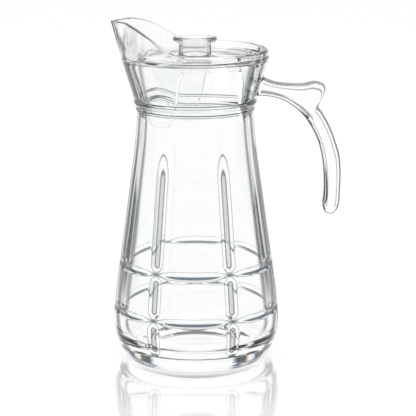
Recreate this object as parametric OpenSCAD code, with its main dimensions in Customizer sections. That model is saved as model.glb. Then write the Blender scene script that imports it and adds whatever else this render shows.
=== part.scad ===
// Glass jug with a pinched spout, a free-ended handle and a lift-off lid.
// Millimetres, +Z up, origin at the centre of the foot, handle towards +X, spout towards -X.

/* [Jug] */
// Height of the rim away from the spout
jug_h = 225; // [200:1:250]
// Height of the collar with its rings, from the neck to the rim
collar_h = 47; // [43:0.5:55]
// Diameter of the foot
foot_d = 98; // [88:0.5:106]
// Largest diameter of the belly
belly_d = 120.6; // [112:0.2:128]
// Height of the largest diameter
belly_z = 29; // [25:0.5:34]
// Outer diameter of the neck
neck_d = 83.2; // [80:0.2:88]
// Wall of the neck
neck_wall = 4.8; // [3.5:0.1:6]
// Wall of the belly
belly_wall = 6.5; // [4:0.1:8]
// Thickness of the base
base_t = 10; // [7:0.5:13]
// Height that the middle of the underside is hollowed
punt_h = 2.4; // [1:0.1:4]
// Width of the ring that the jug stands on
foot_w = 7; // [4:0.5:10]

/* [Cut pattern] */
// Angle between the two flutes at the front and the two at the back
front_cell = 56; // [50:1:70]
// Radius of the wheel that cuts a flute
flute_r = 16; // [10:1:22]
// Depth of a flute
flute_depth = 0.9; // [0.4:0.05:1.4]
// Plain glass between the flutes and the neck
flute_down = 27; // [15:1:50]
// Height of the lower groove above the largest diameter
low_groove_up = 9.5; // [6:0.5:13]
// Height of the upper groove above the largest diameter
high_groove_up = 42.5; // [34:0.5:50]
// Radius of the wheel that cuts a groove
groove_r = 6; // [4:0.5:9]
// Depth of a groove in the middle of its cell
groove_depth = 0.8; // [0.4:0.05:1.2]
// Height of the plain foot below the flutes
plain_foot = 14.5; // [10:0.5:18]
// Plain glass left at each end of a cut
cut_gap = 1.6; // [1:0.1:2.5]

/* [Collar and spout] */
// Outer diameter of the collar at its step
collar_d = 105.4; // [101:0.2:110]
// Height of the rings between the neck and the collar
ring_h = 12; // [9:0.5:15]
// How far the upper ring stands out from the neck
ring_out = 2.5; // [1.5:0.1:3.5]
// Height of the rim band above the collar's step
band_h = 6; // [4.5:0.1:8]
// How far the rim band stands in from the step
band_in = 0.8; // [0.4:0.1:1.6]
// Wall of the rim band above the lid's ledge
band_wall = 5.1; // [4.6:0.1:5.8]
// Depth of the lid's ledge below the rim
ledge_depth = 7.2; // [6.4:0.1:8.5]
// Width of the lid's ledge
ledge_w = 2.6; // [2:0.1:3.2]
// Thickness of the rim's edge
rim_t = 4.4; // [3.6:0.1:4.6]
// Height of the spout above the rim
spout_rise = 20; // [12:0.5:26]
// Reach of the spout's lip from the axis
spout_reach = 60; // [56:0.2:64]
// Wall of the spout at its foot
spout_wall = 2.8; // [2.2:0.1:3.2]
// Thickness of the spout's edge
lip_t = 2.4; // [1.8:0.1:2.8]

/* [Handle] */
// Reach of the handle from the axis
handle_reach = 104.5; // [94:0.5:114]
// Drop of the handle from its root to its free end
handle_drop = 102; // [85:1:115]
// Width of the handle
handle_w = 17; // [13:0.5:20]
// Depth of the handle's root below the rim
handle_down = 17.5; // [15:0.5:19]
// Length of the glass stub on the collar that the handle is welded to
stub_l = 4; // [2:0.5:6]

/* [Lid] */
// Gap between the edge of the plate and the rim band
lid_gap = 0.3; // [0.2:0.05:0.6]
// Gap between the plate and the ledge that it lies on
rest_gap = 0.05; // [0.02:0.01:0.1]
// Thickness of the plate
plate_t = 2.2; // [1.6:0.1:3]
// Gap between the skirt and the collar
skirt_gap = 1.2; // [0.8:0.1:2]
// Height of the skirt
skirt_h = 6; // [4:0.5:8]
// Wall of the skirt and the legs
leg_t = 1.8; // [1.4:0.1:2.4]
// Gap between the legs and the neck
leg_gap = 0.8; // [0.5:0.1:1.4]
// Length of the legs below the skirt
leg_h = 41; // [34:1:44]
// Width of a leg at its top
leg_w = 44.5; // [38:0.5:50]
// Number of legs
leg_n = 3; // [2:1:4]
// Turn of the lid from the spout
lid_turn = -11; // [-60:1:60]
// Outer diameter of the knob's tube
knob_d = 22.8; // [18:0.2:26]
// Wall of the knob's tube
knob_wall = 1.6; // [1.2:0.1:2.2]
// How far the flange stands out from the tube
flange_out = 4.3; // [3:0.1:6]
// Thickness of the knob's flange
flange_t = 3; // [2:0.1:4]
// Height of the knob above the plate
knob_h = 13; // [10:0.5:18]
// Fillet between the knob and the plate
knob_fillet = 2; // [1:0.1:3]

/* [Hidden] */
$fn = 96;
// Overrun of every cutting shape
over = 1;

// Radii of the body
foot_r = foot_d / 2;
belly_r = belly_d / 2;
neck_r = neck_d / 2;
neck_in_r = neck_r - neck_wall;
// Rounding of the foot's edge
foot_edge = 1.2;

// Heights from the foot up
neck_z = jug_h - collar_h;
collar_z = neck_z + ring_h;
step_z = jug_h - band_h;
ledge_z = jug_h - ledge_depth;
spout_z = jug_h + spout_rise;
low_groove_z = belly_z + low_groove_up;
high_groove_z = belly_z + high_groove_up;
flute_top_z = neck_z - flute_down;

// Outline of the body, as shares of the height and of the radius between two named stations
foot_shares = [[0, 0], [0.158, 0.46], [0.406, 0.77], [0.658, 0.938]];
side_shares = [[0, 0], [0.075, 0.045], [0.21, 0.176], [0.395, 0.39], [0.575, 0.588], [0.883, 0.92], [1, 1]];
// Outline of the rings, as shares of the height and of the stand-out
ring_shares = [[0, 0], [0.22, 0.14], [0.36, 0.38], [0.53, 0.14],
               [0.7, 0.85], [0.8, 1], [0.92, 0.85], [1, 0.1]];
// Height of the first collar section, inside the upper ring
bury_share = 0.68;
bury_z = neck_z + ring_h * bury_share;
// Foot of the collar's cone, as a share of the rings' stand-out
cone_share = 0.88;
cone_foot_r = neck_r + ring_out * cone_share;
collar_r = collar_d / 2;
// Inner radius where the lid's edge and its ledge lie
seat_r = collar_r - band_wall;
ledge_in_r = seat_r - ledge_w;
// Step of the inner wall between the neck and the collar, as a share of the neck's wall
throat_share = 0.23;
throat_r = neck_in_r + neck_wall * throat_share;
// Rounding between the base and the inner wall
corner_r = 16;
// Steps along a curved stretch of an outline
steps = 36;
corner_steps = 8;
// Steps along an upright cut
cut_steps = 16;

function lerp(a, b, t) = a + (b - a) * t;
function ease(t) = let (u = max(0, min(1, t))) u * u * (3 - 2 * u);
function secant(t, i) = (t[i + 1][1] - t[i][1]) / (t[i + 1][0] - t[i][0]);
function both(a, b) = a * b <= 0 ? 0 : 2 * a * b / (a + b);
function slope(t, i) =
    i == 0 ? secant(t, 0) : i == len(t) - 1 ? secant(t, i - 1) : both(secant(t, i - 1), secant(t, i));
function span(t, x, i = 0) = i >= len(t) - 2 || x < t[i + 1][0] ? i : span(t, x, i + 1);
// Smooth value at x through a table of [x, value], without overshoot
function smooth(t, x) =
    let (i = span(t, x), h = t[i + 1][0] - t[i][0], u = (x - t[i][0]) / h)
    t[i][1] * (1 + 2 * u) * (1 - u) * (1 - u) + t[i + 1][1] * u * u * (3 - 2 * u)
    + h * u * (1 - u) * (slope(t, i) * (1 - u) - slope(t, i + 1) * u);

body_table = concat(
    [for (s = foot_shares) [lerp(foot_edge, belly_z, s[0]), lerp(foot_r, belly_r, s[1])]],
    [for (s = side_shares) [lerp(belly_z, neck_z, s[0]), lerp(belly_r, neck_r, s[1])]]
);
ring_table = [for (s = ring_shares) [neck_z + ring_h * s[0], neck_r + ring_out * s[1]]];
wall_table = [[base_t, belly_wall], [belly_z, belly_wall], [neck_z, neck_wall]];

function body_r(z) = smooth(body_table, z);
function inner_r(z) = body_r(z) - smooth(wall_table, z);
function cone_r(z) = lerp(cone_foot_r, collar_r, (z - collar_z) / (step_z - collar_z));
function cone_in_r(z) = lerp(throat_r, ledge_in_r, (z - bury_z) / (ledge_z - bury_z));

// Station halfway out on the hollowed underside, as shares of its radius and height
punt_shares = [0.5, 0.8];
punt_mid_r = (foot_r - foot_w) * punt_shares[0];
punt_mid_z = punt_h * punt_shares[1];

// Outline of the wall up to the collar, from the middle of the underside round to the inner floor
corner_z = base_t + corner_r;
floor_r = inner_r(corner_z) - corner_r;
outer_points = concat(
    [[0, punt_h], [punt_mid_r, punt_mid_z], [foot_r - foot_w, 0]],
    [for (a = [-90 : 22.5 : 0]) [foot_r - foot_edge * (1 - cos(a)), foot_edge * (1 + sin(a))]],
    [for (i = [1 : steps]) let (z = lerp(foot_edge, neck_z, i / steps)) [body_r(z), z]],
    [for (i = [1 : steps / 2]) let (z = lerp(neck_z, collar_z, 2 * i / steps)) [smooth(ring_table, z), z]]
);
inner_points = concat(
    [[(throat_r + neck_r) / 2, collar_z], [neck_in_r, bury_z], [neck_in_r, neck_z]],
    [for (i = [1 : steps - 1]) let (z = lerp(neck_z, corner_z, i / steps)) [inner_r(z), z]],
    [for (i = [0 : corner_steps]) let (a = 90 * i / corner_steps)
        [floor_r + corner_r * cos(a), corner_z - corner_r * sin(a)]],
    [[0, base_t]]
);

// Share of a cut's full depth at distance s along it, with a taper at each end
function cut_share(s, len, ta, tb) =
    s < ta ? 1 - pow((ta - s) / ta, 2) : s > len - tb ? 1 - pow((s - len + tb) / tb, 2) : 1;

// One upright cut, the path of a wheel that follows the side between two heights
module flute_cut(z0, z1, taper0_share, taper1_share) {
    r0 = body_r(z0);
    dr = body_r(z1) - r0;
    dz = z1 - z0;
    len = norm([dr, dz]);
    lean = atan2(dr, dz);
    run = [for (i = [0 : cut_steps]) lerp(-over, len + over, i / cut_steps)];
    function bow(s) = (body_r(z0 + s * cos(lean)) - r0 - s * sin(lean)) * cos(lean);
    function wheel_r(s) =
        flute_r - bow(s) + flute_depth * cut_share(s, len, len * taper0_share, len * taper1_share);
    translate([r0 + flute_r * cos(lean), 0, z0 - flute_r * sin(lean)])
        rotate([0, lean, 0])
            rotate_extrude()
                polygon(concat(
                    [[0, -over]],
                    [for (s = run) [wheel_r(s), s]],
                    [[0, len + over]]
                ));
}

// One level cut between two flutes, a wheel's path on a flatter circle than the side's own
module groove_cut(z, cell) {
    r = body_r(z);
    half_chord = r * sin(cell / 2) - cut_gap;
    rise = r - sqrt(r * r - half_chord * half_chord) - groove_depth;
    path_r = (half_chord * half_chord + rise * rise) / (2 * rise);
    reach = asin(min(1, (half_chord + over) / path_r));
    translate([r - groove_depth - path_r, 0, z])
        rotate([0, 0, -reach])
            rotate_extrude(angle = 2 * reach)
                translate([path_r + groove_r, 0])
                    circle(groove_r, $fn = 48);
}

// Turns of the upright flutes from the handle
side_cell = (180 - front_cell) / 2;
flute_turns = [for (half = [0, 180], t = [0, side_cell, side_cell + front_cell]) half + t];

module cut_pattern() {
    olive_share = 0.5;
    arch_share = 0.11;
    tip_share = 0.3;
    turns = concat(flute_turns, [360]);
    for (i = [0 : len(flute_turns) - 1]) {
        rotate([0, 0, turns[i]]) {
            flute_cut(plain_foot, low_groove_z - cut_gap, olive_share, olive_share);
            flute_cut(low_groove_z + cut_gap, high_groove_z - cut_gap, olive_share, olive_share);
            flute_cut(high_groove_z + cut_gap, flute_top_z, tip_share, arch_share);
        }
        rotate([0, 0, (turns[i] + turns[i + 1]) / 2]) {
            groove_cut(low_groove_z, turns[i + 1] - turns[i]);
            groove_cut(high_groove_z, turns[i + 1] - turns[i]);
        }
    }
}

// Rim and spout, by the angle from the spout's middle, where the spout's wall passes into the rim band
flank_in_angle = 55;
flank_out_angle = 84;
// Distance of the pinch beside the lip from the axis, as a share of the collar's radius
pinch_share = 0.953;
pinch_r = collar_r * pinch_share;
// Stand-out of the spout's flanks from the collar, as a share of the edge's thickness
flank_share = 0.28;
flank_r = collar_r + lip_t * flank_share;
// Stand-in of the rim and of the notch below it, as shares of the rim band's own
rim_share = 0.85;
notch_in_share = 1.2;
rim_r = collar_r - band_in * rim_share;
notch_r = collar_r - band_in * notch_in_share;
// Radius of the lip by angle, as shares between the pinch and the lip's tip
lip_shares = [[0, 1], [1.5, 0.97], [4, 0.76], [8, 0.56], [13, 0.33], [19, 0.14], [26, 0.04], [34, 0]];
// Radius of the flank by angle, as shares between the pinch and the flank
flank_shares = [[43, 0.08], [53, 0.58], [66, 1]];
plain_angle = 95;
lip_table = concat(
    [for (s = lip_shares) [s[0], lerp(pinch_r, spout_reach, s[1])]],
    [for (s = flank_shares) [s[0], lerp(pinch_r, flank_r, s[1])]],
    [[plain_angle, rim_r], [180, rim_r]]
);
// Height of the edge by angle, as shares of the spout's rise
edge_shares = [[0, 1], [19, 1], [26, 0.96], [34, 0.9], [43, 0.8],
               [53, 0.65], [65, 0.36], [80, 0.06], [92, 0], [180, 0]];
turn_n = 96;
rise_n = 5;
// How strongly the sections crowd towards the spout
crowd = 1.6;
// Heights in the rim band, as shares of it
notch_share = 0.28;
band_share = 0.4;
// Width of the ledge under the spout, as a share of its width elsewhere
thin_ledge_share = 0.15;

function turn(i) = let (u = 2 * i / turn_n) u <= 1 ? 180 * pow(u, crowd) : 360 - 180 * pow(2 - u, crowd);
function aside(a) = min(a, 360 - a);
function spout_part(a) = 1 - ease((a - flank_in_angle) / (flank_out_angle - flank_in_angle));
function rim_z(a) = jug_h + spout_rise * smooth(edge_shares, a);
function up(z) = max(0, (z - step_z) / (spout_z - step_z));
function spout_r(a, z) = lerp(collar_r, smooth(lip_table, a), up(z));
function outer_at(a, z, plain_r) = lerp(plain_r, spout_r(a, z), spout_part(a));
function inner_at(a, z) =
    let (t = min(1, (z - ledge_z) / ledge_depth))
    lerp(lerp(seat_r, rim_r - rim_t, t), spout_r(a, z) - lerp(spout_wall, lip_t, up(z)), spout_part(a));
function edge_t(a) = lerp(rim_t, lip_t, spout_part(a));
function rise_z(a, k) = lerp(step_z + band_h * band_share, rim_z(a) - edge_t(a) / 2, k / rise_n);

// Section of the collar's wall at angle a, from inside the ring up the outside and down the inside
function collar_section(a) =
    let (notch_z = step_z + band_h * notch_share,
         half = edge_t(a) / 2,
         top = rim_z(a) - half,
         top_r = outer_at(a, top, rim_r) - half,
         shelf_r = inner_at(a, ledge_z))
    concat(
        [[cone_r(bury_z), bury_z], [collar_r, step_z], [outer_at(a, notch_z, notch_r), notch_z]],
        [for (k = [0 : rise_n]) let (z = rise_z(a, k)) [outer_at(a, z, rim_r), z]],
        [for (b = [30 : 30 : 150]) [top_r + half * cos(b), top + half * sin(b)]],
        [for (k = [rise_n : -1 : 1]) let (z = rise_z(a, k)) [min(inner_at(a, z), top_r - half), z]],
        [[shelf_r, ledge_z], [shelf_r - ledge_w * lerp(1, thin_ledge_share, spout_part(a)), ledge_z]],
        [[throat_r, bury_z]]
    );

// Closed skin over rings of points, where a tube joins its last ring to its first
function ring_faces(n, m, closed) =
    [for (j = [0 : (closed ? n : n - 1) - 1], i = [0 : m - 1])
        let (k = (j + 1) % n, l = (i + 1) % m, a = j * m + i, b = j * m + l, c = k * m + i, d = k * m + l)
        each [[a, b, c], [b, d, c]]];

module collar() {
    rings = [for (i = [0 : turn_n - 1]) let (t = turn(i))
        [for (p = collar_section(aside(t))) [-p[0] * cos(t), -p[0] * sin(t), p[1]]]];
    polyhedron([for (r = rings) each r], ring_faces(turn_n, len(rings[0]), true), convexity = 10);
}

// Handle, as sections between an inner and an outer point of its side view
handle_top_z = jug_h - handle_down;
// Thickness of the root, as a share of the drop, and its width, as a share of the handle's
root_share = 0.165;
root_w_share = 1.12;
root_r = cone_r(handle_top_z);
seat_x = root_r + stub_l;
// Inner x and z, outer x and z, as shares of the reach from the collar and of the drop, and share of width
handle_shares = [
    [-0.04, 0.156, 0.026, 0.038, 1.06],
    [0.114, 0.166, 0.158, 0.063, 1],
    [0.255, 0.19, 0.322, 0.073, 1],
    [0.396, 0.24, 0.496, 0.073, 1],
    [0.478, 0.28, 0.648, 0.058, 1],
    [0.527, 0.312, 0.769, 0.077, 1],
    [0.557, 0.334, 0.784, 0.119, 1],
    [0.586, 0.357, 0.733, 0.174, 1],
    [0.615, 0.384, 0.689, 0.22, 1],
    [0.656, 0.426, 0.762, 0.282, 1],
    [0.707, 0.495, 0.861, 0.382, 1],
    [0.747, 0.588, 0.936, 0.492, 1],
    [0.767, 0.676, 0.982, 0.583, 1],
    [0.777, 0.779, 1, 0.71, 1],
    [0.773, 0.862, 0.993, 0.837, 1.03],
    [0.76, 0.921, 0.987, 0.914, 1.06],
    [0.777, 0.965, 0.956, 0.965, 0.95],
    [0.81, 0.99, 0.916, 0.991, 0.7],
    [0.85, 0.999, 0.875, 1, 0.3]
];
// Steps between two stations, and points round a section
bar_steps = 3;
bar_n = 24;
// Squareness of the handle's section, where 2 is an ellipse
bar_power = 3.4;

function wall_mid_r(z) =
    z < bury_z ? (body_r(min(z, neck_z)) + inner_r(min(z, neck_z))) / 2 : (cone_r(z) + cone_in_r(z)) / 2;
function bar_x(s) = lerp(root_r, handle_reach, s);
function bar_z(s) = handle_top_z - handle_drop * s;
root_z = bar_z(root_share);
bar_stations = concat(
    [[wall_mid_r(root_z), root_z, wall_mid_r(handle_top_z), handle_top_z, root_w_share]],
    [for (s = handle_shares) [bar_x(s[0]), bar_z(s[1]), bar_x(s[2]), bar_z(s[3]), s[4]]]
);
// Value between four neighbours of a list, on a curve through the middle two
function through(a, b, c, d, u) =
    0.5 * (2 * b + (c - a) * u + (2 * a - 5 * b + 4 * c - d) * u * u + (3 * b - a - 3 * c + d) * u * u * u);
function station(u) =
    let (t = bar_stations, n = len(t), i = min(floor(u), n - 2))
    through(t[max(i - 1, 0)], t[i], t[i + 1], t[min(i + 2, n - 1)], u - i);
function rounded(c) = sign(c) * pow(abs(c), 2 / bar_power);
function bar_section(s) =
    let (mid = [s[0] + s[2], s[1] + s[3]] / 2, arm = [s[2] - s[0], s[3] - s[1]] / 2)
    [for (i = [0 : bar_n - 1]) let (a = 360 * (i + 0.5) / bar_n, p = mid + arm * rounded(cos(a)))
        [p[0], handle_w / 2 * s[4] * rounded(sin(a)), p[1]]];

module handle_bar() {
    last = len(bar_stations) - 1;
    rings = [for (i = [0 : last * bar_steps]) bar_section(station(i / bar_steps))];
    ends = [[for (i = [bar_n - 1 : -1 : 0]) i], [for (i = [0 : bar_n - 1]) last * bar_steps * bar_n + i]];
    polyhedron([for (r = rings) each r], concat(ring_faces(len(rings), bar_n, false), ends), convexity = 6);
}

// Everything on one side of the plane where the handle is welded to its stub
module weld_side(side) {
    size = 2 * handle_reach;
    translate([seat_x + (side - 1) * size / 2, -size / 2, handle_top_z - size / 2])
        cube(size);
}

module jug_body() {
    color("aliceblue", 0.5) {
        difference() {
            rotate_extrude()
                polygon(concat(outer_points, inner_points));
            cut_pattern();
        }
        collar();
        intersection() {
            handle_bar();
            weld_side(-1);
        }
    }
}

module handle() {
    color("aliceblue", 0.5)
        intersection() {
            handle_bar();
            weld_side(1);
        }
}

// Lid
plate_r = seat_r - lid_gap;
rest_z = ledge_z + rest_gap;
plate_z = rest_z + plate_t;
skirt_z = ledge_z - skirt_h;
skirt_r = cone_in_r(skirt_z) - skirt_gap;
knob_r = knob_d / 2;
knob_z = plate_z + knob_h;
// Rounding of the plate's upper edge
plate_edge = 0.6;
// Outline of one half of a leg, as shares of its length from the skirt and of its width at the top
leg_shares = [[0, 1], [0.22, 0.84], [0.5, 0.717], [0.76, 0.504], [0.9, 0.41], [0.97, 0.34], [1, 0.22]];

module disc_and_knob() {
    rotate_extrude()
        polygon(concat(
            [[0, rest_z], [skirt_r - leg_t, rest_z], [skirt_r - leg_t, skirt_z], [skirt_r, skirt_z]],
            [[skirt_r, rest_z], [plate_r, rest_z]],
            [for (a = [0 : 30 : 90])
                [plate_r - plate_edge * (1 - cos(a)), plate_z - plate_edge * (1 - sin(a))]],
            [for (a = [0 : 22.5 : 90])
                [knob_r + knob_fillet * (1 - sin(a)), plate_z + knob_fillet * (1 - cos(a))]],
            [for (a = [-90 : 22.5 : 90])
                [knob_r + flange_out - flange_t / 2 * (1 - cos(a)), knob_z - flange_t / 2 * (1 - sin(a))]],
            [[knob_r - knob_wall, knob_z], [knob_r - knob_wall, plate_z], [0, plate_z]]
        ));
}

// Legs, curved panels cut from one shell that follows the inside of the collar and the neck
module legs() {
    tube_r = neck_in_r - leg_gap;
    low_z = skirt_z - leg_h;
    line = [[skirt_r, rest_z], [skirt_r, skirt_z], [cone_in_r(collar_z) - leg_gap, collar_z],
            [tube_r, bury_z], [tube_r, low_z]];
    intersection() {
        rotate_extrude()
            polygon(concat(line, [for (i = [len(line) - 1 : -1 : 0]) line[i] - [leg_t, 0]]));
        for (i = [0 : leg_n - 1])
            rotate([0, 0, 360 * i / leg_n])
                rotate([90, 0, 90])
                    linear_extrude(plate_r)
                        polygon(concat(
                            [[leg_w / 2, rest_z]],
                            [for (s = leg_shares) [leg_w / 2 * s[1], skirt_z - leg_h * s[0]]],
                            [for (i = [len(leg_shares) - 1 : -1 : 0])
                                [-leg_w / 2 * leg_shares[i][1], skirt_z - leg_h * leg_shares[i][0]]],
                            [[-leg_w / 2, rest_z]]
                        ));
    }
}

module lid() {
    color("whitesmoke", 0.6)
        rotate([0, 0, lid_turn]) {
            disc_and_knob();
            legs();
        }
}

jug_body();
handle();
lid();
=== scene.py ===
"""Dresses the glass jug: one clear skin with its handle, a clear lid, a white table and a camera."""
import math

import bmesh
import bpy
from mathutils import Matrix, Vector


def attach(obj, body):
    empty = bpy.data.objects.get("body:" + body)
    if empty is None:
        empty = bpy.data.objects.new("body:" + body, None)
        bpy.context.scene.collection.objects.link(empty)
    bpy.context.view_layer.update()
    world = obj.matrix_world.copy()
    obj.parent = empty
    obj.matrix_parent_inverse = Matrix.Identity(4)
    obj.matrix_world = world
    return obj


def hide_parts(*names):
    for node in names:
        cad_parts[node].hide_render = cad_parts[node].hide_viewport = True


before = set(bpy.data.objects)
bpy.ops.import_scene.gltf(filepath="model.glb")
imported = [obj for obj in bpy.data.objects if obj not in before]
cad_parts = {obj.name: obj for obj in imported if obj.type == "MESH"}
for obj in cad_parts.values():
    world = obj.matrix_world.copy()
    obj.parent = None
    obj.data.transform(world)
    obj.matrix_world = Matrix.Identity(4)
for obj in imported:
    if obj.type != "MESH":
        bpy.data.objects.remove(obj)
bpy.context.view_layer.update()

MM = 0.001


# Sizes of the jug, in millimetres and degrees
JUG_H, NECK_Z, RING_H = 225.0, 178.0, 12.0
FOOT_R, BELLY_R, BELLY_Z, NECK_R = 50.1, 60.3, 29.0, 41.6
NECK_WALL, BELLY_WALL, BASE_T, PUNT_H, FOOT_W = 4.8, 6.5, 10.0, 2.4, 7.0
FOOT_EDGE, CORNER_R = 0.7, 16.0
RING_OUT, COLLAR_R, BAND_H, BAND_IN, BAND_WALL = 2.5, 52.7, 6.0, 0.8, 5.1
LEDGE_DEPTH, LEDGE_W, RIM_T, LIP_T, SPOUT_WALL = 7.2, 2.6, 4.4, 2.4, 2.8
SPOUT_RISE, SPOUT_REACH, SPOUT_LEDGE = 20.0, 60.0, 0.15
COLLAR_Z = NECK_Z + RING_H
BURY_Z = NECK_Z + RING_H * 0.68
STEP_Z = JUG_H - BAND_H
LEDGE_Z = JUG_H - LEDGE_DEPTH
RIM_R = COLLAR_R - BAND_IN * 0.85
NOTCH_R = COLLAR_R - BAND_IN * 1.2
SEAT_R = COLLAR_R - BAND_WALL
NOTCH_Z = STEP_Z + BAND_H * 0.28
BAND_LOW_Z = STEP_Z + BAND_H * 0.4
CONE_FOOT_R = NECK_R + RING_OUT * 0.88
NECK_IN_R = NECK_R - NECK_WALL
THROAT_R = NECK_IN_R + NECK_WALL * 0.23
PINCH_R = COLLAR_R * 0.953
FLANK_R = COLLAR_R + LIP_T * 0.28
FLANK_IN, FLANK_OUT, PLAIN = 55.0, 84.0, 95.0
FRONT_FLUTE = 62.0
LOW_GROOVE, HIGH_GROOVE, FLUTE_TOP, PLAIN_FOOT, CUT_GAP = 38.5, 71.5, 155.0, 12.5, 0.5
FOOT_RUN, CROSSING_RUN, CROWN_RUN = 5.0, 6.0, 19.0
SMALL_ROUND, THROAT_ROUND, THROAT_STEP = 0.5, 1.1, 1.2
PUNT_LINE = [(8, 0.99), (21, 0.8), (FOOT_R - FOOT_W - 6, 0.35)]

# Rows and columns of the skin
COLUMNS, FOOT_POINTS = 300, 10
RING_ROWS, CONE_ROWS, RIM_ROWS, NECK_ROWS = 26, 8, 10, 44
CUT_ROW, SIDE_ROW, PLAIN_ROW = 0.5, 1.1, 2.6
NEAR_CUT, BESIDE_CUT, ABOVE_FOOT = 4.2, 8, 10


def lerp(a, b, t):
    return a + (b - a) * t


def ease(t):
    u = max(0.0, min(1.0, t))
    return u * u * (3 - 2 * u)


def smooth(table, x):
    """Value at x on a curve through a table of (x, value), without overshoot."""
    last = len(table) - 2
    i = 0
    while i < last and x >= table[i + 1][0]:
        i += 1

    def secant(k):
        return (table[k + 1][1] - table[k][1]) / (table[k + 1][0] - table[k][0])

    def slope(k):
        if k == 0:
            return secant(0)
        if k == last + 1:
            return secant(last)
        a, b = secant(k - 1), secant(k)
        return 0.0 if a * b <= 0 else 2 * a * b / (a + b)

    (x0, y0), (x1, y1) = table[i], table[i + 1]
    h = x1 - x0
    u = (x - x0) / h
    return (y0 * (1 + 2 * u) * (1 - u) ** 2 + y1 * u * u * (3 - 2 * u)
            + h * u * (1 - u) * (slope(i) * (1 - u) - slope(i + 1) * u))


def spread(shares, x0, x1, y0, y1):
    return [(lerp(x0, x1, s), lerp(y0, y1, t)) for s, t in shares]


# Shares of each outline, as (along, out), and by angle from the spout, as (degrees, share)
LOW_SHARES = [(0, 0), (0.158, 0.4), (0.406, 0.72), (0.658, 0.925)]
SIDE_SHARES = [(0, 0), (0.075, 0.045), (0.21, 0.176), (0.395, 0.39), (0.575, 0.588), (0.883, 0.92), (1, 1)]
RING_SHARES = [(0, 0), (0.22, 0.14), (0.36, 0.38), (0.53, 0.14), (0.7, 0.85), (0.8, 1), (0.92, 0.85),
               (1, 0.1)]
LIP_SHARES = [(0, 1), (1.5, 0.97), (4, 0.76), (8, 0.56), (13, 0.33), (19, 0.14), (26, 0.04), (34, 0)]
FLANK_SHARES = [(43, 0.08), (53, 0.58), (66, 1)]
RISE_SHARES = [(0, 1), (19, 1), (26, 0.96), (34, 0.9), (43, 0.8), (53, 0.65), (65, 0.36), (80, 0.06), (92, 0),
               (180, 0)]
BODY = (spread(LOW_SHARES, FOOT_EDGE, BELLY_Z, FOOT_R, BELLY_R)
        + spread(SIDE_SHARES, BELLY_Z, NECK_Z, BELLY_R, NECK_R))
RINGS = spread(RING_SHARES, NECK_Z, COLLAR_Z, NECK_R, NECK_R + RING_OUT)
WALL = [(BASE_T, BELLY_WALL), (BELLY_Z, BELLY_WALL), (NECK_Z, NECK_WALL)]
LIP = (spread(LIP_SHARES, 0, 1, PINCH_R, SPOUT_REACH) + spread(FLANK_SHARES, 0, 1, PINCH_R, FLANK_R)
       + [(PLAIN, RIM_R), (180, RIM_R)])


def body_r(z):
    return smooth(BODY, z)


def inner_r(z):
    return body_r(z) - smooth(WALL, z)


def cone_r(z):
    return lerp(CONE_FOOT_R, COLLAR_R, (z - COLLAR_Z) / (STEP_Z - COLLAR_Z))


def cone_in_r(z):
    return lerp(THROAT_R, SEAT_R - LEDGE_W, (z - BURY_Z) / (LEDGE_Z - BURY_Z))


def ring_r(z):
    return max(smooth(RINGS, z), cone_r(z) if z > BURY_Z else 0)


def spout_part(a):
    return 1 - ease((a - FLANK_IN) / (FLANK_OUT - FLANK_IN))


def rim_z(a):
    return JUG_H + SPOUT_RISE * smooth(RISE_SHARES, a)


def up(z):
    return max(0.0, (z - STEP_Z) / (JUG_H + SPOUT_RISE - STEP_Z))


def spout_r(a, z):
    return lerp(COLLAR_R, smooth(LIP, a), up(z))


def outer_at(a, z, plain):
    return lerp(plain, spout_r(a, z), spout_part(a))


def inner_at(a, z):
    plain = lerp(SEAT_R, RIM_R - RIM_T, min(1.0, (z - LEDGE_Z) / LEDGE_DEPTH))
    spout = spout_r(a, z) - lerp(SPOUT_WALL, LIP_T, up(z))
    return lerp(plain, spout, spout_part(a))


def rounded_line(points, steps=4):
    """A line through corners (r, z, rounding), with as many points however far it is rounded."""
    out = []
    for i, (r, z, q) in enumerate(points):
        if q <= 0:
            out.append((r, z))
            continue
        here = Vector((r, z))
        before = Vector(points[i - 1][:2]) - here
        after = Vector(points[i + 1][:2]) - here
        b = here + before.normalized() * min(q, before.length * 0.45)
        c = here + after.normalized() * min(q, after.length * 0.45)
        for k in range(steps + 1):
            t = k / steps
            p = b * (1 - t) ** 2 + here * 2 * t * (1 - t) + c * t * t
            out.append((p.x, p.y))
    return out


def wall_heights():
    """Heights of the rows below the neck, close together where the cuts start, cross and end."""
    marks = [PLAIN_FOOT, LOW_GROOVE, HIGH_GROOVE, FLUTE_TOP]
    z, out = FOOT_EDGE, []
    while z < NECK_Z:
        near = min(abs(z - mark) for mark in marks)
        out.append(z)
        z += CUT_ROW if near < NEAR_CUT else SIDE_ROW if near < BESIDE_CUT or z < ABOVE_FOOT else PLAIN_ROW
    return out[1:]


HEIGHTS = wall_heights()


def rows(z0, z1, count, first=0, last=None):
    """Heights at equal steps from z0 to z1, from the step numbered first to the one numbered last."""
    return [lerp(z0, z1, k / count) for k in range(first, (count if last is None else last) + 1)]


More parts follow.
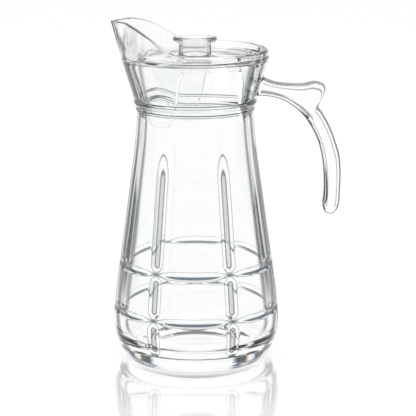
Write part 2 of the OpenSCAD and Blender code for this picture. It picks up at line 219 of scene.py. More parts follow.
def wall_section(a):
    """Outline of the glass at angle a from the spout, from under the base's middle round to its top."""
    corner_z = BASE_T + CORNER_R
    floor_r = inner_r(corner_z) - CORNER_R
    half = lerp(RIM_T, LIP_T, spout_part(a)) / 2
    top = rim_z(a) - half
    top_r = outer_at(a, top, RIM_R) - half
    shelf = inner_at(a, LEDGE_Z)
    inner_shelf = shelf - LEDGE_W * lerp(1, SPOUT_LEDGE, spout_part(a))
    rim_rows = rows(BAND_LOW_Z, top, RIM_ROWS, 1)

    def throat(t):
        return lerp(inner_shelf, THROAT_R, t), lerp(LEDGE_Z, BURY_Z, t)

    # Underside, foot and side
    out = [(r, PUNT_H * share) for r, share in PUNT_LINE]
    out += [(FOOT_R - FOOT_W, 0), (FOOT_R - FOOT_W / 2, 0)]
    out += [(FOOT_R - FOOT_EDGE * (1 - math.cos(b)), FOOT_EDGE * (1 + math.sin(b)))
            for b in (math.radians(22.5 * k - 90) for k in range(5))]
    out += [(body_r(z), z) for z in HEIGHTS]
    # Rings, collar and step
    out += [(ring_r(z), z) for z in rows(NECK_Z, COLLAR_Z, RING_ROWS)]
    out += [(cone_r(z), z) for z in rows(COLLAR_Z, STEP_Z, CONE_ROWS, 1, CONE_ROWS - 1)]
    out += rounded_line([(cone_r(STEP_Z - 2), STEP_Z - 2, 0), (COLLAR_R, STEP_Z, SMALL_ROUND),
                         (outer_at(a, NOTCH_Z, NOTCH_R), NOTCH_Z, SMALL_ROUND),
                         (outer_at(a, BAND_LOW_Z, RIM_R), BAND_LOW_Z, 0)], 3)[1:]
    # Rim or spout, up and over
    out += [(outer_at(a, z, RIM_R), z) for z in rim_rows]
    out += [(top_r + half * math.cos(b), top + half * math.sin(b))
            for b in (math.radians(22.5 * k) for k in range(1, 8))]
    out += [(min(inner_at(a, z), top_r - half), z) for z in reversed(rim_rows)]
    # Ledge for the lid, and the throat below it
    out += rounded_line([(min(inner_at(a, BAND_LOW_Z), top_r - half), BAND_LOW_Z, 0),
                         (shelf, LEDGE_Z, SMALL_ROUND), (inner_shelf, LEDGE_Z, SMALL_ROUND),
                         throat(0.1) + (0,)], 3)
    out += [throat(k / 10) for k in range(2, 9)]
    out += rounded_line([throat(0.9) + (0,), (THROAT_R, BURY_Z, THROAT_ROUND),
                         (NECK_IN_R, BURY_Z - THROAT_STEP, THROAT_ROUND), (NECK_IN_R, NECK_Z, 0)], 4)
    # Inside of the body, its corner and its floor
    out += [(inner_r(z), z) for z in rows(NECK_Z, corner_z, NECK_ROWS, 1, NECK_ROWS - 1)]
    out += [(floor_r + CORNER_R * math.cos(b), corner_z - CORNER_R * math.sin(b))
            for b in (math.radians(9 * k) for k in range(11))]
    out += [(floor_r * 0.66, BASE_T), (floor_r * 0.33, BASE_T)]
    return out


def column_angles(count):
    """Angles from the handle, crowded at the flutes and round the spout."""
    def weight(deg):
        fold = min(deg % 180, 180 - deg % 180)
        near = min(fold, abs(fold - FRONT_FLUTE))
        aside = abs(deg - 180)
        return 1 + 1.7 * math.exp(-(near / 5.5) ** 4) + 0.9 * math.exp(-(aside / 26) ** 4)
    steps = 7200
    total = [0.0]
    for k in range(steps):
        total.append(total[-1] + weight((k + 0.5) * 360 / steps))
    out, k = [], 0
    for i in range(count):
        want = total[-1] * i / count
        while total[k + 1] < want:
            k += 1
        out.append((k + (want - total[k]) / (total[k + 1] - total[k])) * 360 / steps)
    return out


def mesh_object(name, points, faces, marks=None):
    """A piece from points in millimetres. Marks are the points that carry the cut pattern."""
    mesh = bpy.data.meshes.new(name)
    mesh.from_pydata([(x * MM, y * MM, z * MM) for x, y, z in points], [], faces)
    if marks is not None:
        layer = mesh.attributes.new("outside", "FLOAT", "POINT")
        layer.data.foreach_set("value", marks)
    mesh.update()
    obj = bpy.data.objects.new(name, mesh)
    bpy.context.scene.collection.objects.link(obj)
    return obj


def jug_blank():
    """The uncut glass: one closed skin turned round the axis, column by column."""
    angles = column_angles(COLUMNS)
    points, marks, faces = [], [], []
    for deg in angles:
        t = math.radians(deg)
        section = wall_section(abs(deg - 180))
        for k, (r, z) in enumerate(section):
            points.append((r * math.cos(t), r * math.sin(t), z))
            marks.append(1.0 if FOOT_POINTS <= k < FOOT_POINTS + len(HEIGHTS) else 0.0)
    m, n = len(section), len(angles)
    under, floor = n * m, n * m + 1
    for j in range(n):
        p, q = j * m, (j + 1) % n * m
        faces += [(p + i, q + i, q + i + 1, p + i + 1) for i in range(m - 1)]
    for j in range(n):
        p, q = j * m, (j + 1) % n * m
        faces += [(under, q, p), (floor, p + m - 1, q + m - 1)]
    points += [(0, 0, PUNT_H), (0, 0, BASE_T)]
    marks += [0.0, 0.0]
    return mesh_object("jug_blank", points, faces, marks)


# Node trees
class Wire:
    """An output of a node tree. Sums on it add Math nodes."""

    def __init__(self, graph, socket):
        self.graph, self.socket = graph, socket

    def math(self, what, *others):
        return self.graph.node("ShaderNodeMath", {"operation": what}, dict(enumerate((self,) + others)))

    def __add__(self, b):
        return self.math("ADD", b)

    def __sub__(self, b):
        return self.math("SUBTRACT", b)

    def __rsub__(self, b):
        return (self * -1.0) + b

    def __mul__(self, b):
        return self.math("MULTIPLY", b)

    def __truediv__(self, b):
        return self.math("DIVIDE", b)

    def __rtruediv__(self, b):
        return self.math("POWER", -1.0) * b

    __radd__, __rmul__ = __add__, __mul__

    def low(self, b):
        return self.math("MINIMUM", b)

    def high(self, b):
        return self.math("MAXIMUM", b)

    def size(self):
        return self.math("ABSOLUTE")

    def clamped(self):
        return self.low(1.0).high(0.0)


class Graph:
    """A node tree that is filled by one method."""

    def __init__(self, tree):
        self.tree = tree

    def node(self, kind, settings=None, inputs=None, out=0):
        node = self.tree.nodes.new(kind)
        for key, value in (settings or {}).items():
            if key == "stops":
                ramp = node.color_ramp
                for _ in range(len(value) - 2):
                    ramp.elements.new(0.5)
                for element, (at, grey) in zip(ramp.elements, value):
                    element.position, element.color = at, (grey, grey, grey, 1)
            else:
                setattr(node, key, value)
        for key, value in (inputs or {}).items():
            if isinstance(value, Wire):
                self.tree.links.new(value.socket, node.inputs[key])
            else:
                node.inputs[key].default_value = value
        return Wire(self, node.outputs[out])


def geometry_tree(name, sizes):
    """A Geometry Nodes tree with a mesh input, named sizes and a material, and its inputs by name."""
    tree = bpy.data.node_groups.new(name, "GeometryNodeTree")
    face = tree.interface
    face.new_socket("Geometry", in_out="INPUT", socket_type="NodeSocketGeometry")
    for label, value in sizes.items():
        face.new_socket(label, in_out="INPUT", socket_type="NodeSocketFloat").default_value = value
    face.new_socket("Material", in_out="INPUT", socket_type="NodeSocketMaterial")
    face.new_socket("Geometry", in_out="OUTPUT", socket_type="NodeSocketGeometry")
    graph = Graph(tree)
    start = tree.nodes.new("NodeGroupInput")
    given = {s.name: Wire(graph, s) for s in start.outputs if s.name}
    return tree, graph, given


def close_tree(graph, shape, given):
    whole = graph.node("GeometryNodeRealizeInstances", None, {0: shape})
    done = graph.node("GeometryNodeSetMaterial", None, {0: whole, "Material": given["Material"]})
    end = graph.tree.nodes.new("NodeGroupOutput")
    graph.tree.links.new(done.socket, end.inputs[0])


def run_tree(obj, tree, sizes, material, name):
    """Run a tree on a piece and keep the plain mesh that comes out."""
    mod = obj.modifiers.new(name, "NODES")
    mod.node_group = tree
    ids = {i.name: i.identifier for i in tree.interface.items_tree if i.in_out == "INPUT"}
    for label, value in sizes.items():
        mod[ids[label]] = value
    mod[ids["Material"]] = material
    return baked(obj, name)


def baked(obj, name):
    """A plain object with the evaluated mesh of a piece, whose modifiers and blank are then dropped."""
    bpy.context.view_layer.update()
    shown = obj.evaluated_get(bpy.context.evaluated_depsgraph_get())
    mesh = bpy.data.meshes.new_from_object(shown)
    mesh.name = name
    obj.modifiers.clear()
    bpy.data.objects.remove(obj)
    done = bpy.data.objects.new(name, mesh)
    bpy.context.scene.collection.objects.link(done)
    return done


PATTERN = {
    "Flute depth": 0.9, "Flute wheel": 16.0, "Groove depth": 0.8, "Groove wheel": 6.0,
    "Front flute": FRONT_FLUTE, "Lower groove": LOW_GROOVE, "Upper groove": HIGH_GROOVE,
    "Flute top": FLUTE_TOP, "Plain foot": PLAIN_FOOT, "Gap": CUT_GAP, "Softness": 0.09,
}


def cut_depth(x, y, z, size):
    """Depths of the flute and the groove at a place, in millimetres, below zero where no wheel reaches."""
    r = (x * x + y * y).math("SQRT")
    turn = y.math("ARCTAN2", x).size() * (180 / math.pi)
    fold = turn.low(180.0 - turn)
    front, gap = size["Front flute"], size["Gap"]
    beside = fold.low((fold - front).size()) * (math.pi / 180) * r
    hollow = beside * beside * 0.5 * (1.0 / size["Flute wheel"] + 1.0 / r)

    def rounded(run, length):
        short = (1.0 - run / length).high(0.0)
        return 1.0 - short * short

    def pointed(run, length):
        end = rounded(run, length)
        return end * end.size()

    lower, upper = size["Lower groove"], size["Upper groove"]
    foot = rounded(z - size["Plain foot"], FOOT_RUN).low(pointed(lower - gap - z, CROSSING_RUN))
    middle = pointed(z - lower - gap, CROSSING_RUN).low(pointed(upper - gap - z, CROSSING_RUN))
    crown = pointed(z - upper - gap, CROSSING_RUN).low(rounded(size["Flute top"] - z, CROWN_RUN))
    flute = foot.high(middle).high(crown) * size["Flute depth"] - hollow

    side = fold.math("LESS_THAN", front)
    half = side * (front * 0.5) + (1.0 - side) * (90.0 - front)
    centre = side * (front * 0.5) + (1.0 - side) * 90.0
    across = ((fold - centre) * (math.pi / 180)).math("SINE") * r
    reach = (half * (math.pi / 180)).math("SINE") * r - gap
    end = 1.0 - (across / reach).math("POWER", 4.0)
    level = end * end.size() * size["Groove depth"]
    grooves = [level - (z - height) * (z - height) * 0.5 * (1.0 / size["Groove wheel"])
               for height in (lower, upper)]
    return flute, grooves[0].high(grooves[1])


def cut_pattern_tree():
    """Six upright flutes and two rows of level grooves between them, cut into the outside by wheels."""
    tree, g, given = geometry_tree("Cut pattern", PATTERN)
    place = g.node("GeometryNodeInputPosition")
    parts = g.node("ShaderNodeSeparateXYZ", None, {0: place})
    x, y, z = (Wire(g, s) * (1 / MM) for s in parts.socket.node.outputs)
    flute, groove = cut_depth(x, y, z, given)
    cut = flute.high(groove)
    soft = given["Softness"]
    cut = (cut + (cut * cut + soft * soft).math("SQRT")) * 0.5
    mark = g.node("GeometryNodeInputNamedAttribute", {"data_type": "FLOAT"}, {"Name": "outside"})
    inward = cut * mark * (-MM) / (x * x + y * y).math("SQRT")
    offset = g.node("ShaderNodeCombineXYZ", None, {0: x * inward, 1: y * inward})
    moved = g.node("GeometryNodeSetPosition", None, {0: given["Geometry"], "Offset": offset})
    close_tree(g, moved, given)
    return tree


# Materials
def material(name):
    mat = bpy.data.materials.new(name)
    mat.use_nodes = True
    mat.node_tree.nodes.clear()
    return mat, Graph(mat.node_tree)


def finish_material(g, shader):
    end = g.tree.nodes.new("ShaderNodeOutputMaterial")
    g.tree.links.new(shader.socket, end.inputs["Surface"])


def grey(g, stops, value):
    ramp = g.node("ShaderNodeValToRGB", {"stops": stops}, {0: value})
    return g.node("ShaderNodeRGBToBW", None, {0: ramp})


def tinted(g, low, high, share):
    """Two colours mixed by a share, which is 0 for the first."""
    return g.node("ShaderNodeMix", {"data_type": "RGBA"}, {0: share, 6: low + (1,), 7: high + (1,)}, 2)


def object_place(g):
    """Place on the piece, in metres, whole and as x, y and z."""
    where = g.node("ShaderNodeTexCoord", None, None, 3)
    parts = g.node("ShaderNodeSeparateXYZ", None, {0: where})
    return where, [Wire(g, socket) for socket in parts.socket.node.outputs]


def surface_normal(g):
    """Direction that the skin faces, as x, y and z."""
    parts = g.node("ShaderNodeSeparateXYZ", None, {0: g.node("ShaderNodeTexCoord", None, None, 1)})
    return [Wire(g, socket) for socket in parts.socket.node.outputs]


# Painted shade by the slope of the skin: how clear the glass and the plastic are, from facing the eye (0) to
# edge-on (1)
SLOPE_SHADE = [(0.0, 1.0), (0.6, 1.0), (0.66, 0.08), (0.75, 0.04), (0.79, 0.95), (0.9, 0.95), (0.94, 0.2),
         (1.0, 0.2)]
LID_SLOPE_SHADE = [(0.0, 1.0), (0.56, 1.0), (0.66, 0.12), (0.74, 0.12), (0.8, 0.9), (1.0, 1.0)]
HANDLE_SLOPE_SHADE = [(0.0, 1.0), (0.43, 1.0), (0.52, 0.08), (0.87, 0.02), (0.94, 0.25), (1.0, 0.4)]
# Painted shade on the handle by how far its skin faces sideways: two dark lines along each rounded edge
HANDLE_BEVEL_SHADE = [(0.0, 1.0), (0.42, 1.0), (0.48, 0.06), (0.6, 0.06), (0.66, 1.0), (0.915, 1.0), (0.935, 0.15),
                (0.96, 0.15), (0.98, 1.0), (1.0, 1.0)]
# Painted shade on the neck by height, from its top (0) to the collar's foot (1): a dark line above and below
# each bead
RING_SHADE_LINES = [(0.0, 1.0), (0.26, 1.0), (0.275, 0.1), (0.3, 0.1), (0.32, 1.0), (0.36, 1.0), (0.385, 0.01),
              (0.43, 0.01), (0.46, 1.0), (0.77, 1.0), (0.79, 0.1), (0.82, 0.1), (0.84, 1.0), (0.91, 1.0),
              (0.93, 0.01), (0.97, 0.01), (1.0, 1.0)]
# Painted glow along a polished edge, and painted shade on its sides, by the same slope
PAINTED_EDGE_GLOW = [(0.0, 1.0), (0.3, 0.95), (0.55, 0.35), (1.0, 0.3)]
PAINTED_EDGE_SHADE = [(0.0, 1.0), (0.66, 1.0), (0.76, 0.0), (1.0, 0.0)]
# Painted dark lines round the cuts: half widths, and then each painted band's start and fade by depth of the
# cut, in millimetres
FLUTE_LINE, GROOVE_LINE, OTHER_CUT = 0.17, 0.15, 0.1
BAND_START, BAND_FADE, CORE_START, CORE_FADE, LOWER_START, LOWER_FADE = 0.64, 0.1, 0.81, 0.05, 0.22, 0.2
# How dark the painted shade is in the lines, the flute bands and the lower grooves, and how much clearer each
# band's core is
LINE_DARK, BAND_DARK, CORE_CLEAR, LOWER_DARK = 0.995, 0.94, 0.45, 0.97
# Where the handle's own painted shade starts, in metres, and how the collar leans beside it
WELD_REACH, COLLAR_LEAN, WELD_LOW, WELD_HIGH, BAR_REACH, BEVEL_LOW = 0.0452, 0.307, 0.1, 0.183, 0.0535, 0.112


def painted_slope_shade(g, stops, level_clear=2.7):
    """Painted shade: darker where the skin turns away from the eye sideways, and clear on level faces."""
    facing = g.node("ShaderNodeLayerWeight", None, {"Blend": 0.5}, 1)
    level = surface_normal(g)[2].size()
    return 1.0 - (1.0 - grey(g, stops, facing)) * (2.4 - level * level_clear).clamped()


def middle_of_wall(g, z):
    """Radius of the middle of the wall at each height, which tells the outside from the inside."""
    heights = [lerp(PLAIN_FOOT, FLUTE_TOP, k / 9) for k in range(10)]
    stops = [(h / NECK_Z, (body_r(h) - smooth(WALL, h) / 2) / 100) for h in heights]
    return grey(g, stops, z / NECK_Z) * 100.0


def painted_pattern_shade(g, x, y, z):
    """Painted shade: thin dark lines round each cut, a grey band with a lighter core in each flute, and dark
    lines at the neck.
    """
    r = (x * x + y * y).math("SQRT")
    outside = r.math("GREATER_THAN", middle_of_wall(g, z))
    flute, groove = cut_depth(x, y, z, PATTERN)
    near = 1.0 - g.node("ShaderNodeNewGeometry", None, None, 6)
    flute_line = (1.0 - flute.size() / FLUTE_LINE).clamped() * groove.math("LESS_THAN", OTHER_CUT) * near
    groove_line = (1.0 - groove.size() / GROOVE_LINE).clamped() * flute.math("LESS_THAN", OTHER_CUT)
    line = flute_line.high(groove_line)
    core = ((flute - CORE_START) / CORE_FADE).clamped() * CORE_CLEAR
    band = ((flute - BAND_START) / BAND_FADE).clamped() * (1.0 - core) * near
    under_upper = z.math("LESS_THAN", HIGH_GROOVE - 0.4) * z.math("GREATER_THAN", HIGH_GROOVE - 3)
    below = under_upper.high(z.math("LESS_THAN", LOW_GROOVE - 0.4))
    lower = ((groove - LOWER_START) / LOWER_FADE).clamped() * below
    cuts = outside * (line * LINE_DARK).high(band * BAND_DARK).high(lower * LOWER_DARK)
    rings = 1.0 - grey(g, RING_SHADE_LINES, (z - NECK_Z) / RING_H)
    on_neck = r.math("GREATER_THAN", NECK_R - 0.5) * r.math("LESS_THAN", 50.0)
    return 1.0 - cuts.high(rings * on_neck)


def handle_part(x, z):
    """1 on the handle and 0 on the body: past the collar's cone near the weld, and past a radius below it."""
    past_collar = x - (z - COLLAR_Z * MM).high(0.0) * COLLAR_LEAN - WELD_REACH
    at_weld = past_collar.math("GREATER_THAN", 0.0) * z.math("GREATER_THAN", WELD_HIGH)
    return x.math("GREATER_THAN", BAR_REACH).high(at_weld) * z.math("GREATER_THAN", WELD_LOW)


def pressed_glass():
    """Clear pressed glass with faint waves from the mould, a polished skin, a scuffed foot ring, and painted
    shade at its edges, its handle's bevels and round its cuts.
    """
    mat, g = material("pressed_glass")
    where, (x, y, z) = object_place(g)
    waves = g.node("ShaderNodeTexNoise", {"noise_dimensions": "3D"},
                   {"Vector": where, "Scale": 38.0, "Detail": 1.0})
    grain = g.node("ShaderNodeTexNoise", None, {"Vector": where, "Scale": 900.0, "Detail": 2.0})
    scuff = (1.0 - z * (1 / 0.0012)).clamped() * (grain * 0.6 + 0.1)
    smear = g.node("ShaderNodeTexNoise", None, {"Vector": where, "Scale": 14.0, "Detail": 3.0})
    rough = (smear - 0.5).high(0.0) * 0.015 + scuff * 0.15
    bump = g.node("ShaderNodeBump", None, {"Strength": 0.008, "Distance": 0.002, "Height": waves})
    on_handle = handle_part(x, z)
    sideways = surface_normal(g)[1].size()
    bevel = 1.0 - (1.0 - grey(g, HANDLE_BEVEL_SHADE, sideways)) * z.math("GREATER_THAN", BEVEL_LOW)
    bar = painted_slope_shade(g, HANDLE_SLOPE_SHADE, 1.2) * bevel
    slope = painted_slope_shade(g, SLOPE_SHADE) * (1.0 - on_handle) + bar * on_handle
    # Painted shade: the glass colour darkens at edge-on slopes, on the handle's bevels, round the cuts and
    # beside the neck's beads.
    clear = slope * painted_pattern_shade(g, x / MM, y / MM, z / MM)
    skin = g.node("ShaderNodeBsdfPrincipled", None, {
        "Base Color": tinted(g, (0.0, 0.012, 0.025), (0.985, 0.992, 0.99), clear),
        "Roughness": rough, "IOR": 1.5, "Transmission Weight": 1.0, "Normal": bump})
    finish_material(g, skin)
    return mat


def lid_plastic():
    """Clear moulded plastic: glossy, with fine turning marks from the mould, a few handling scratches and
    painted shade where its skin turns edge-on.
    """
    mat, g = material("lid_plastic")
    where, (x, y, _) = object_place(g)
    r = (x * x + y * y).math("SQRT")
    turning = (r * (2 * math.pi / 0.0016)).math("SINE")
    stretched = g.node("ShaderNodeMapping", None, {"Vector": where, "Scale": (300.0, 40.0, 300.0)})
    hair = g.node("ShaderNodeTexNoise", None, {"Vector": stretched, "Scale": 4.0, "Detail": 3.0})
    scratch = (hair - 0.66).high(0.0) * 3.0
    height = turning * 0.3 + scratch
    bump = g.node("ShaderNodeBump", None, {"Strength": 0.04, "Distance": 0.0004, "Height": height})
    skin = g.node("ShaderNodeBsdfPrincipled", None, {
        "Base Color": tinted(g, (0.0, 0.012, 0.02), (0.975, 0.98, 0.985), painted_slope_shade(g, LID_SLOPE_SHADE)),
        "Roughness": scratch * 0.25 + 0.03, "IOR": 1.47, "Transmission Weight": 1.0, "Normal": bump})
    finish_material(g, skin)
    return mat


def painted_glow_edge(name, ior, clear, glow, shade=0.95):
    """A narrow polished edge painted as a glowing white line with painted shade on its sides, in place of the
    light that it carries through the piece.
    """
    mat, g = material(name)
    grain = g.node("ShaderNodeTexNoise", None, {"Vector": object_place(g)[0], "Scale": 400.0, "Detail": 2.0})
    facing = g.node("ShaderNodeLayerWeight", None, {"Blend": 0.5}, 1)
    light = tinted(g, (0.0, 0.0, 0.0), (1.0, 1.0, 1.0), grey(g, PAINTED_EDGE_GLOW, facing))
    colour = tinted(g, (shade, shade, shade + 0.01), (0.95, 0.96, 0.97), grey(g, PAINTED_EDGE_SHADE, facing))
    skin = g.node("ShaderNodeBsdfPrincipled", None, {
        "Base Color": colour, "Roughness": grain * 0.1 + 0.02, "IOR": ior,
        "Transmission Weight": clear, "Emission Color": light, "Emission Strength": glow})
    finish_material(g, skin)
    return mat


def painted_shade_edge(name):
    """Painted shade on the shoulder of a thin rim: a grey line that stands in for the glass bending light
    away there.
    """
    mat, g = material(name)
    grain = g.node("ShaderNodeTexNoise", None, {"Vector": object_place(g)[0], "Scale": 150.0, "Detail": 2.0})
    skin = g.node("ShaderNodeBsdfPrincipled", None, {
        "Base Color": tinted(g, (0.06, 0.07, 0.08), (0.3, 0.31, 0.33), ((grain - 0.35) * 3.0).clamped()),
        "Roughness": 0.02, "IOR": 1.5, "Transmission Weight": 1.0})
    finish_material(g, skin)
    return mat


# Handle
HANDLE_TOP, HANDLE_DROP, HANDLE_W, HANDLE_REACH = JUG_H - 17.5, 102.0, 17.0, 104.5
ROOT_SHARE, ROOT_WIDE = 0.165, 1.12
ROOT_R = cone_r(HANDLE_TOP)
# Shares of reach and drop on the inner line, the same on the outer line, and the share of the width
HANDLE = [
    (-0.04, 0.156, 0.026, 0.038, 1.06), (0.114, 0.166, 0.158, 0.063, 1), (0.255, 0.19, 0.322, 0.073, 1),
    (0.396, 0.24, 0.496, 0.073, 1), (0.478, 0.28, 0.648, 0.058, 1), (0.527, 0.312, 0.769, 0.077, 1),
    (0.557, 0.334, 0.784, 0.119, 1), (0.586, 0.357, 0.733, 0.174, 1), (0.615, 0.384, 0.689, 0.22, 1),
    (0.656, 0.426, 0.762, 0.282, 1), (0.707, 0.495, 0.861, 0.382, 1), (0.747, 0.588, 0.936, 0.492, 1),
    (0.767, 0.676, 0.982, 0.583, 1), (0.777, 0.779, 1, 0.71, 1), (0.773, 0.862, 0.993, 0.837, 1.03),
    (0.76, 0.921, 0.987, 0.914, 1.06), (0.777, 0.965, 0.956, 0.965, 0.95), (0.81, 0.99, 0.916, 0.991, 0.7),
    (0.85, 0.999, 0.875, 1, 0.3)]


def handle_stations():
    """Inner place, outer place and width of each section, the first one inside the collar's wall."""
    def side(z):
        if z < BURY_Z:
            return (body_r(min(z, NECK_Z)) + inner_r(min(z, NECK_Z))) / 2
        return (cone_r(z) + cone_in_r(z)) / 2

    root = HANDLE_TOP - HANDLE_DROP * ROOT_SHARE
    out = [(side(root), root, side(HANDLE_TOP), HANDLE_TOP, ROOT_WIDE)]
    for a, b, c, d, w in HANDLE:
        out.append((lerp(ROOT_R, HANDLE_REACH, a), HANDLE_TOP - HANDLE_DROP * b,
                    lerp(ROOT_R, HANDLE_REACH, c), HANDLE_TOP - HANDLE_DROP * d, w))
    return out


def handle_bar(steps=7, around=48, power=3.4):
    """Squarish sections between an inner and an outer line, from inside the collar to the free end."""
    stations = handle_stations()
    last = len(stations) - 1

    def at(i):
        return stations[max(0, min(last, i))]

    def through(a, b, c, d, u):
        return 0.5 * (2 * b + (c - a) * u + (2 * a - 5 * b + 4 * c - d) * u * u
                      + (3 * b - a - 3 * c + d) * u ** 3)

    def squared(c):
        return math.copysign(abs(c) ** (2 / power), c)

    points, faces = [], []
    for k in range(last * steps + 1):
        i = min(k // steps, last - 1)
        u = k / steps - i
        s = [through(*v, u) for v in zip(at(i - 1), at(i), at(i + 1), at(i + 2))]
        mid = ((s[0] + s[2]) / 2, (s[1] + s[3]) / 2)
        arm = ((s[2] - s[0]) / 2, (s[3] - s[1]) / 2)
        for j in range(around):
            b = 2 * math.pi * (j + 0.5) / around
            c = squared(math.cos(b))
            aside = HANDLE_W / 2 * s[4] * squared(math.sin(b))
            points.append((mid[0] + arm[0] * c, aside, mid[1] + arm[1] * c))
    rings = last * steps + 1
    for k in range(rings - 1):
        for j in range(around):
            p, q = k * around + j, k * around + (j + 1) % around
            faces.append((p, q, q + around, p + around))
    faces.append(tuple(range(around - 1, -1, -1)))
    faces.append(tuple((rings - 1) * around + j for j in range(around)))
    return mesh_object("handle_bar", points, faces)


def faces_outwards(obj):
    work = bmesh.new()
    work.from_mesh(obj.data)
    bmesh.ops.recalc_face_normals(work, faces=work.faces)
    work.to_mesh(obj.data)
    work.free()


def joined(base, extra, name):
    """Two closed pieces made one skin, so that no wall is left inside the glass."""
    faces_outwards(base)
    faces_outwards(extra)
    mod = base.modifiers.new("join", "BOOLEAN")
    mod.operation, mod.object, mod.solver = "UNION", extra, "MANIFOLD"
    done = baked(base, name)
    bpy.data.objects.remove(extra)
    return done


def soften(obj, degrees):
    """Smooth shading, kept crisp where faces meet at more than so many degrees."""
    obj.data.shade_smooth()
    obj.data.set_sharp_from_angle(angle=math.radians(degrees))


# Lid
PLATE_GAP, REST_GAP, PLATE_T, SKIRT_H, SKIRT_GAP = 0.3, 0.05, 2.2, 3.4, 1.2
KNOB_R, KNOB_H, KNOB_WALL, KNOB_FILLET, KNOB_DRAFT = 11.4, 13.5, 1.6, 2.0, 0.3
FLANGE_OUT, FLANGE_T = 4.3, 3.6
LEG_T, LEG_H, LEG_W, LEG_GAP, LEG_ROUND, LEG_RISE = 1.8, 41.6, 44.5, 0.8, 0.3, 1.0
LID_TURN, LID_COLUMNS, LEG_ROWS, LEG_COLUMNS, LEG_START = -11.0, 240, 46, 24, -0.16
LEG_SHARES = [(LEG_START, 1), (0, 1), (0.22, 0.84), (0.5, 0.717), (0.76, 0.504), (0.9, 0.41), (0.97, 0.34),
              (1, 0.22)]
PLATE_ROUND, TRAY_EDGE, TRAY_LIP, TRAY_DROP = 0.6, 5.2, 0.4, 0.25
PLATE_R = SEAT_R - PLATE_GAP
REST_Z = LEDGE_Z + REST_GAP
PLATE_Z = REST_Z + PLATE_T
KNOB_Z = PLATE_Z + KNOB_H
SKIRT_Z = LEDGE_Z - SKIRT_H
SKIRT_R = cone_in_r(SKIRT_Z) - SKIRT_GAP
LEG_LINE = [(REST_Z + LEG_RISE, SKIRT_R), (SKIRT_Z, SKIRT_R), (COLLAR_Z, cone_in_r(COLLAR_Z) - LEG_GAP),
            (BURY_Z, NECK_IN_R - LEG_GAP), (SKIRT_Z - LEG_H, NECK_IN_R - LEG_GAP)]


def turned(name, outline, count=LID_COLUMNS):
    """A closed piece turned from an outline that starts and ends on the axis."""
    inner = outline[1:-1]
    m = len(inner)
    points, faces = [], []
    for j in range(count):
        t = 2 * math.pi * j / count
        points += [(r * math.cos(t), r * math.sin(t), z) for r, z in inner]
    points += [(0, 0, outline[0][1]), (0, 0, outline[-1][1])]
    for j in range(count):
        p, q = j * m, (j + 1) % count * m
        faces += [(p + i, q + i, q + i + 1, p + i + 1) for i in range(m - 1)]
        faces += [(count * m, q, p), (count * m + 1, p + m - 1, q + m - 1)]
    return mesh_object(name, points, faces)


def lid_disc():
    """Plate, skirt and hollow knob, with small roundings where the moulded edges meet."""
    def arc(r, z, size, a0, a1, steps=6):
        return [(r + size * math.cos(math.radians(lerp(a0, a1, k / steps))),
                 z + size * math.sin(math.radians(lerp(a0, a1, k / steps))), 0) for k in range(steps + 1)]
    inner_skirt = SKIRT_R - LEG_T
    corners = [(0, REST_Z, 0), (12, REST_Z, 0), (inner_skirt, REST_Z, 0.5), (inner_skirt, SKIRT_Z, 0.35),
               (SKIRT_R, SKIRT_Z, 0.35), (SKIRT_R, REST_Z, 0.4), (PLATE_R, REST_Z, 0.3)]
    corners += arc(PLATE_R - PLATE_ROUND, PLATE_Z - PLATE_ROUND, PLATE_ROUND, 0, 90)
    corners += [(PLATE_R - TRAY_EDGE, PLATE_Z, 0), (PLATE_R - TRAY_EDGE - TRAY_LIP, PLATE_Z - TRAY_DROP, 0),
                (30, PLATE_Z - TRAY_DROP, 0), (20, PLATE_Z - 0.1, 0)]
    corners += arc(KNOB_R + KNOB_FILLET, PLATE_Z + KNOB_FILLET, KNOB_FILLET, 270, 180)
    half = FLANGE_T / 2
    corners += [(KNOB_R, KNOB_Z - FLANGE_T, 0.5)]
    corners += arc(KNOB_R + FLANGE_OUT - half, KNOB_Z - half, half, -80, 90, 10)
    corners += [(KNOB_R - KNOB_WALL, KNOB_Z, 0.6), (KNOB_R - KNOB_WALL - KNOB_DRAFT, PLATE_Z, 0.8),
                (4, PLATE_Z, 0), (0, PLATE_Z, 0)]
    return turned("lid_disc", rounded_line(corners, 4))


LEG_SIZES = {"Count": 3.0, "Turn": LID_TURN}


def one_leg():
    """One curved leg on the +X side: a panel that narrows to a rounded foot."""
    line = sorted(LEG_LINE)
    points, faces = [], []
    for side in (0, 1):
        for i in range(LEG_ROWS + 1):
            s = lerp(LEG_START, 1, i / LEG_ROWS)
            z = SKIRT_Z - LEG_H * s
            wide = LEG_W / 2 * smooth(LEG_SHARES, s)
            k = 0
            while k < len(line) - 2 and z > line[k + 1][0]:
                k += 1
            (z0, r0), (z1, r1) = line[k], line[k + 1]
            r = lerp(r0, r1, max(0.0, min(1.0, (z - z0) / (z1 - z0)))) - LEG_T * side
            for j in range(LEG_COLUMNS + 1):
                y = wide * (2 * j / LEG_COLUMNS - 1)
                points.append((math.sqrt(r * r - y * y), y, z))
    n = LEG_COLUMNS + 1
    back = (LEG_ROWS + 1) * n
    for i in range(LEG_ROWS):
        for j in range(LEG_COLUMNS):
            p = i * n + j
            faces.append((p, p + n, p + n + 1, p + 1))
            faces.append((back + p, back + p + 1, back + p + n + 1, back + p + n))
    rim = list(range(n)) + [i * n + LEG_COLUMNS for i in range(1, LEG_ROWS + 1)]
    rim += [LEG_ROWS * n + j for j in range(LEG_COLUMNS - 1, -1, -1)]
    rim += [i * n for i in range(LEG_ROWS - 1, 0, -1)]
    for p, q in zip(rim, rim[1:] + rim[:1]):
        faces.append((p, q, back + q, back + p))
    leg = mesh_object("lid_leg", points, faces)
    faces_outwards(leg)
    bevel = leg.modifiers.new("edges", "BEVEL")
    bevel.width, bevel.segments, bevel.angle_limit = LEG_ROUND * MM, 2, math.radians(50)
    return baked(leg, "lid_leg")


